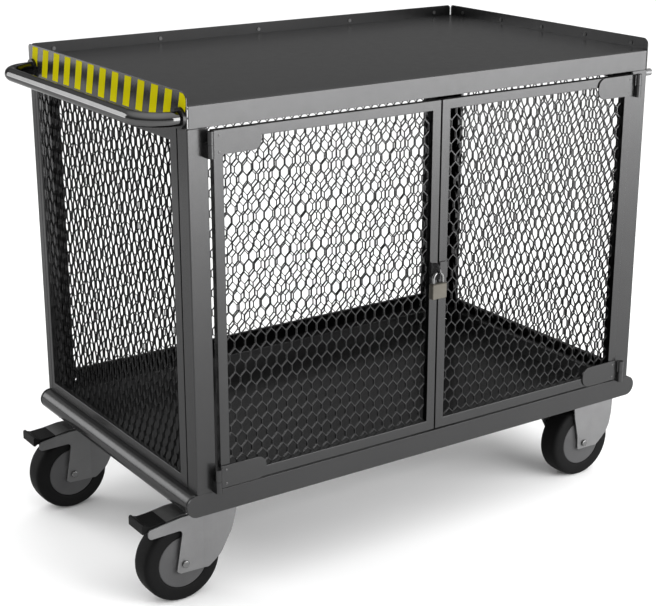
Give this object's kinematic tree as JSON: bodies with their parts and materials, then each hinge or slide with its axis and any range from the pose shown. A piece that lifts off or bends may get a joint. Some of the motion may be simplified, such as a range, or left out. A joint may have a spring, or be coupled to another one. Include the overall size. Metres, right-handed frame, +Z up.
{
  "type": "workshop trolley",
  "caption": "Workshop trolley: a flat worktop over a mesh cage with hinged, padlocked doors, a tubular push handle, fixed casters and braked swivel casters.",
  "frame": {"origin": "on the floor, under the centre of the trolley's overall box", "axes": "+X along the worktop's length, away from the push handle; +Y from the doors towards the rear panel; +Z up"},
  "size_m": [1.1016, 0.6352, 0.907],
  "materials": {
    "frame_paint": "satin dark graphite paint",
    "mesh_paint": "satin dark graphite paint",
    "handle_chrome": "polished",
    "dark_metal": "satin dark graphite paint",
    "stripe_yellow": "satin yellow",
    "zinc": "zinc plated, satin",
    "bright_steel": "bright plated",
    "lever_grey": "satin grey",
    "tread_black": "matt black",
    "tyre_rubber": "matt dark rubber",
    "hub_grey": "matt grey",
    "lock_brass": "satin"
  },
  "bodies": {
    "cage": {"base_deck": "frame_paint", "front_sill": "frame_paint", "rear_sill": "frame_paint", "left_bumper_tube": "frame_paint", "right_bumper_tube": "frame_paint", "front_left_post": "frame_paint", "front_right_post": "frame_paint", "rear_left_post": "frame_paint", "rear_right_post": "frame_paint", "worktop": "frame_paint", "worktop_screws": "bright_steel", "left_panel_frame": "frame_paint", "right_panel_frame": "frame_paint", "rear_panel_frame": "frame_paint", "left_panel_mesh": "mesh_paint", "right_panel_mesh": "mesh_paint", "rear_panel_mesh": "mesh_paint", "push_handle": "handle_chrome", "handle_flanges": "dark_metal", "hazard_stripes": "stripe_yellow", "left_hinge_brackets": "frame_paint", "right_hinge_brackets": "frame_paint", "right_end_stops": "zinc", "right_front_caster_fork": "zinc", "right_rear_caster_fork": "zinc", "fixed_axle_bolts": "bright_steel", "caster_bolts": "bright_steel", "swivel_top_plates": "zinc", "swivel_kingpins": "bright_steel"},
    "left_door": {"left_door_frame": "frame_paint", "left_door_mesh": "mesh_paint", "left_door_hinge_straps": "frame_paint", "left_door_lock_lug": "frame_paint"},
    "right_door": {"right_door_frame": "frame_paint", "right_door_mesh": "mesh_paint", "right_door_hinge_straps": "frame_paint", "right_door_lock_lug": "frame_paint"},
    "lock_shackle": {"padlock_shackle": "bright_steel"},
    "lock_case": {"padlock_body": "lock_brass"},
    "left_front_swivel": {"left_front_caster_fork": "zinc", "left_front_caster_pins": "bright_steel"},
    "left_front_wheel": {"left_front_wheel_tyre": "tyre_rubber", "left_front_wheel_hub": "hub_grey", "left_front_wheel_bearing": "bright_steel"},
    "left_front_brake": {"left_front_brake_lever": "lever_grey", "left_front_brake_tread": "tread_black"},
    "right_front_wheel": {"right_front_wheel_tyre": "tyre_rubber", "right_front_wheel_hub": "hub_grey", "right_front_wheel_bearing": "bright_steel"},
    "left_rear_swivel": {"left_rear_caster_fork": "zinc", "left_rear_caster_pins": "bright_steel"},
    "left_rear_wheel": {"left_rear_wheel_tyre": "tyre_rubber", "left_rear_wheel_hub": "hub_grey", "left_rear_wheel_bearing": "bright_steel"},
    "left_rear_brake": {"left_rear_brake_lever": "lever_grey", "left_rear_brake_tread": "tread_black"},
    "right_rear_wheel": {"right_rear_wheel_tyre": "tyre_rubber", "right_rear_wheel_hub": "hub_grey", "right_rear_wheel_bearing": "bright_steel"}
  },
  "joints": [
    {"name": "left_door_hinge", "type": "hinge", "parent": "cage", "child": "left_door", "pos_m": [-0.43525, -0.2964, 0.535], "axis": [0, 0, -1], "range_deg": [0, 175]},
    {"name": "right_door_hinge", "type": "hinge", "parent": "cage", "child": "right_door", "pos_m": [0.49675, -0.2964, 0.535], "axis": [0, 0, 1], "range_deg": [0, 175]},
    {"name": "padlock_swing", "type": "hinge", "parent": "left_door", "child": "lock_shackle", "pos_m": [0.01485, -0.3096, 0.5385], "axis": [-1, 0, 0], "range_deg": [-8, 70]},
    {"name": "padlock_release", "type": "slide", "parent": "lock_shackle", "child": "lock_case", "axis": [0, 0, -1], "range_m": [0, 0.009]},
    {"name": "left_front_swivel_turn", "type": "hinge", "parent": "cage", "child": "left_front_swivel", "pos_m": [-0.41925, -0.2074, 0.168], "axis": [0, 0, 1], "continuous": true},
    {"name": "left_front_wheel_spin", "type": "hinge", "parent": "left_front_swivel", "child": "left_front_wheel", "pos_m": [-0.47225, -0.2074, 0.075], "axis": [0, 1, 0], "continuous": true},
    {"name": "left_front_brake_press", "type": "hinge", "parent": "left_front_swivel", "child": "left_front_brake", "pos_m": [-0.46525, -0.2074, 0.157], "axis": [0, -1, 0], "range_deg": [0, 12]},
    {"name": "right_front_wheel_spin", "type": "hinge", "parent": "cage", "child": "right_front_wheel", "pos_m": [0.46475, -0.2074, 0.075], "axis": [0, 1, 0], "continuous": true},
    {"name": "left_rear_swivel_turn", "type": "hinge", "parent": "cage", "child": "left_rear_swivel", "pos_m": [-0.41925, 0.2426, 0.168], "axis": [0, 0, 1], "continuous": true},
    {"name": "left_rear_wheel_spin", "type": "hinge", "parent": "left_rear_swivel", "child": "left_rear_wheel", "pos_m": [-0.47225, 0.2426, 0.075], "axis": [0, 1, 0], "continuous": true},
    {"name": "left_rear_brake_press", "type": "hinge", "parent": "left_rear_swivel", "child": "left_rear_brake", "pos_m": [-0.46525, 0.2426, 0.157], "axis": [0, -1, 0], "range_deg": [0, 12]},
    {"name": "right_rear_wheel_spin", "type": "hinge", "parent": "cage", "child": "right_rear_wheel", "pos_m": [0.46475, 0.2426, 0.075], "axis": [0, 1, 0], "continuous": true}
  ]
}
